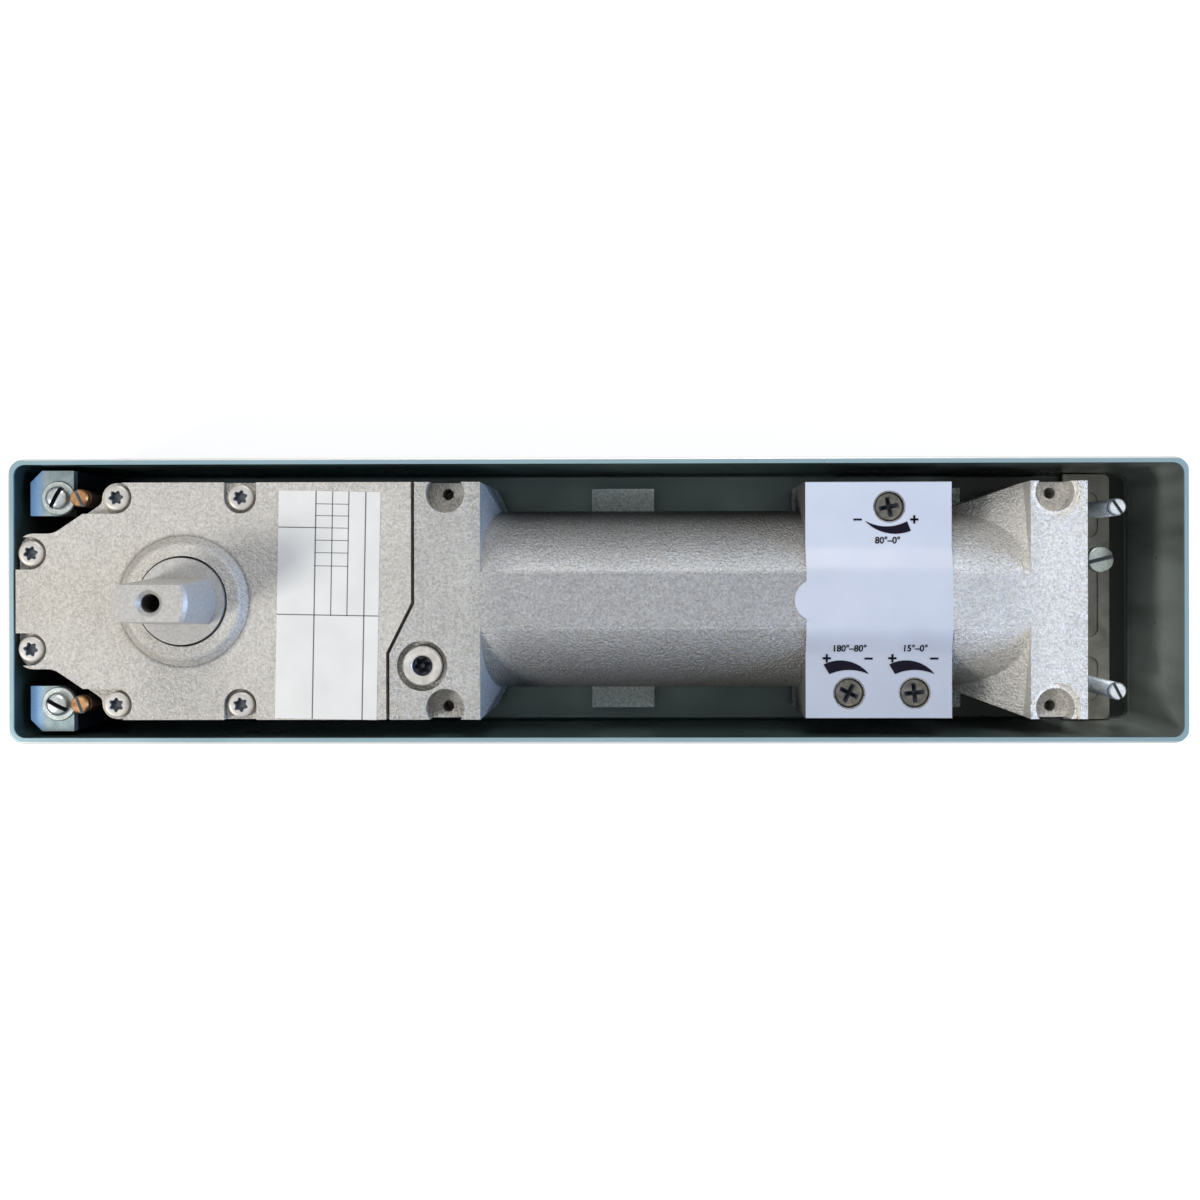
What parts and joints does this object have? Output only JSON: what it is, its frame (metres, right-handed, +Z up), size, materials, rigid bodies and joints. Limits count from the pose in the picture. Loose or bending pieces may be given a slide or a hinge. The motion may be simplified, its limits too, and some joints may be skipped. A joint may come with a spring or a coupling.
{
  "type": "floor spring door closer",
  "caption": "Floor spring in an open cement box: a tapered spindle turns a heart cam that drives a sprung piston in a cast body, with regulating valves under a foil label.",
  "frame": {"origin": "centre of the underside of the cement box", "axes": "+X along the box from the spindle end to the free end, +Y across it, +Z up out of the floor"},
  "size_m": [0.341, 0.0826, 0.083],
  "materials": {
    "box_paint": "satin",
    "casting": "matt",
    "cover_casting": "matt",
    "zinc_plate": "satin",
    "yellow_zinc": "satin",
    "screw_zinc": "satin",
    "pressed_plate": "satin",
    "dark_steel": "matt",
    "turned_steel": "satin",
    "hard_steel": "satin",
    "spring_steel": "satin",
    "bronze": "satin",
    "black_rubber": "matt",
    "gasket_paper": "matt",
    "label_white": "satin",
    "ring_plastic": "matt"
  },
  "bodies": {
    "cement_box": {"cement_box": "box_paint", "plate_fixing_screw": "screw_zinc", "corner_pillar_rear": "dark_steel", "corner_pillar_front": "dark_steel", "clamp_plate_rear": "zinc_plate", "clamp_plate_front": "zinc_plate", "clamp_screws": "screw_zinc"},
    "spindle": {"spindle": "turned_steel", "cam_disc": "hard_steel", "cam_key": "hard_steel", "cam_spacer": "turned_steel"},
    "piston": {"piston": "turned_steel", "piston_ring": "ring_plastic", "roller_pin": "hard_steel", "check_valve_plug": "turned_steel"},
    "cam_roller": {"cam_roller": "hard_steel"},
    "check_ball": {"check_ball": "hard_steel"},
    "force_screw": {"force_screw": "turned_steel"},
    "spring_collar": {"spring_collar": "turned_steel"},
    "level_screw_near_rear": {"level_screw_near_rear": "yellow_zinc"},
    "level_screw_near_front": {"level_screw_near_front": "yellow_zinc"},
    "level_screw_far_rear": {"level_screw_far_rear": "screw_zinc"},
    "level_screw_far_front": {"level_screw_far_front": "screw_zinc"},
    "closing_valve": {"closing_valve": "screw_zinc", "closing_valve_ring": "black_rubber"},
    "wide_angle_valve": {"wide_angle_valve": "screw_zinc", "wide_angle_valve_ring": "black_rubber"},
    "latch_valve": {"latch_valve": "screw_zinc", "latch_valve_ring": "black_rubber"},
    "closer": {"base_plate": "pressed_plate", "under_screws": "screw_zinc", "closer_housing": "casting", "cover_gasket": "gasket_paper", "cam_cover": "cover_casting", "cover_screws": "screw_zinc", "upper_bearing": "bronze", "lower_bearing": "bronze", "spindle_seal": "black_rubber", "main_spring": "spring_steel", "force_screw_ring": "black_rubber", "end_plug": "turned_steel", "end_plug_ring": "black_rubber", "oil_plug": "screw_zinc", "oil_plug_washer": "ring_plastic", "type_label": "label_white", "adjustment_label": "label_white"}
  },
  "joints": [
    {"name": "closer_lift", "type": "slide", "parent": "cement_box", "child": "closer", "axis": [0, 0, 1], "range_m": [0, 0.003]},
    {"name": "spindle_turn", "type": "hinge", "parent": "closer", "child": "spindle", "pos_m": [-0.1195, 0, 0.04], "axis": [0, 0, 1], "range_deg": [0, 170], "stiffness_Nm_per_rad": 1.6, "springref_deg": -2.86},
    {"name": "piston_slide", "type": "slide", "parent": "closer", "child": "piston", "axis": [1, 0, 0], "range_m": [0, 0.0134], "deforming": ["main_spring"]},
    {"name": "roller_spin", "type": "hinge", "parent": "piston", "child": "cam_roller", "pos_m": [-0.0995, 0, 0.0278], "axis": [0, 0, 1], "continuous": true},
    {"name": "check_ball_lift", "type": "slide", "parent": "piston", "child": "check_ball", "axis": [-1, 0, 0], "range_m": [0, 0.0006]},
    {"name": "force_screw_turn", "type": "hinge", "parent": "closer", "child": "force_screw", "pos_m": [0.11, 0, 0.0278], "axis": [1, 0, 0], "range_deg": [0, 2400]},
    {"name": "spring_collar_slide", "type": "slide", "parent": "closer", "child": "spring_collar", "axis": [-1, 0, 0], "range_m": [0, 0.0101], "deforming": ["main_spring"]},
    {"name": "closing_valve_turn", "type": "hinge", "parent": "closer", "child": "closing_valve", "pos_m": [0.0846, 0.027, 0.04], "axis": [0, 0, 1], "range_deg": [-180, 180]},
    {"name": "wide_angle_valve_turn", "type": "hinge", "parent": "closer", "child": "wide_angle_valve", "pos_m": [0.0729, -0.027, 0.04], "axis": [0, 0, 1], "range_deg": [-180, 180]},
    {"name": "latch_valve_turn", "type": "hinge", "parent": "closer", "child": "latch_valve", "pos_m": [0.0919, -0.027, 0.04], "axis": [0, 0, 1], "range_deg": [-180, 180]},
    {"name": "level_screw_near_rear_turn", "type": "hinge", "parent": "cement_box", "child": "level_screw_near_rear", "pos_m": [-0.1505, 0.03, 0.02], "axis": [0, 0, 1], "range_deg": [-1380, 0]},
    {"name": "level_screw_near_front_turn", "type": "hinge", "parent": "cement_box", "child": "level_screw_near_front", "pos_m": [-0.1505, -0.03, 0.02], "axis": [0, 0, 1], "range_deg": [-1380, 0]},
    {"name": "level_screw_far_rear_turn", "type": "hinge", "parent": "cement_box", "child": "level_screw_far_rear", "pos_m": [0.1526, 0.0271, 0.02], "axis": [0, 0, 1], "range_deg": [-1380, 0]},
    {"name": "level_screw_far_front_turn", "type": "hinge", "parent": "cement_box", "child": "level_screw_far_front", "pos_m": [0.1526, -0.0271, 0.02], "axis": [0, 0, 1], "range_deg": [-1380, 0]}
  ],
  "couplings": [
    {"joint": "piston_slide", "follows": "spindle_turn", "m_per_rad": 0.0044563},
    {"joint": "spring_collar_slide", "follows": "force_screw_turn", "m_per_rad": 0.00023873},
    {"joint": "level_screw_near_rear_turn", "follows": "closer_lift", "rad_per_m": -7854},
    {"joint": "level_screw_near_front_turn", "follows": "closer_lift", "rad_per_m": -7854},
    {"joint": "level_screw_far_rear_turn", "follows": "closer_lift", "rad_per_m": -7854},
    {"joint": "level_screw_far_front_turn", "follows": "closer_lift", "rad_per_m": -7854}
  ]
}
